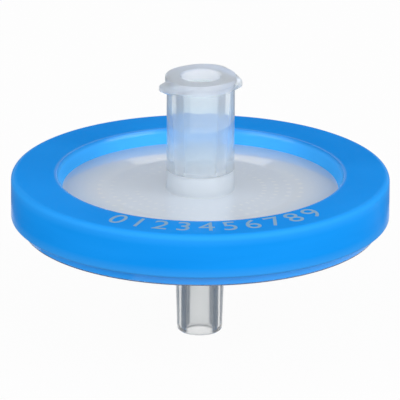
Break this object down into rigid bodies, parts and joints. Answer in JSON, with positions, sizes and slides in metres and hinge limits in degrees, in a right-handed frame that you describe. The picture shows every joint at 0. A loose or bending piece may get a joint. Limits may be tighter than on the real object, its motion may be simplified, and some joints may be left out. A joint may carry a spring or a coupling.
{
  "type": "syringe filter",
  "caption": "Disc filter for syringes: membrane between see-through housings in a moulded ring, with a female Luer lock inlet and a male Luer slip outlet.",
  "frame": {"origin": "centre of the outlet tip's end face, on which the filter stands", "axes": "+Z along the filter's axis, from the outlet tip to the inlet rim; +X to the right of the view in which the front of the ring faces -Y"},
  "size_m": [0.034, 0.034, 0.0241],
  "materials": {
    "clear_plastic": "clear, slightly grey polypropylene, glossy",
    "membrane": "white porous membrane, matt",
    "milky_plastic": "milky translucent polypropylene, satin gloss",
    "blue_plastic": "bright blue polypropylene, satin gloss"
  },
  "bodies": {
    "root": {"outlet_housing": "clear_plastic", "filter_membrane": "membrane", "inlet_housing": "milky_plastic", "overmould_ring": "blue_plastic"}
  },
  "joints": []
}
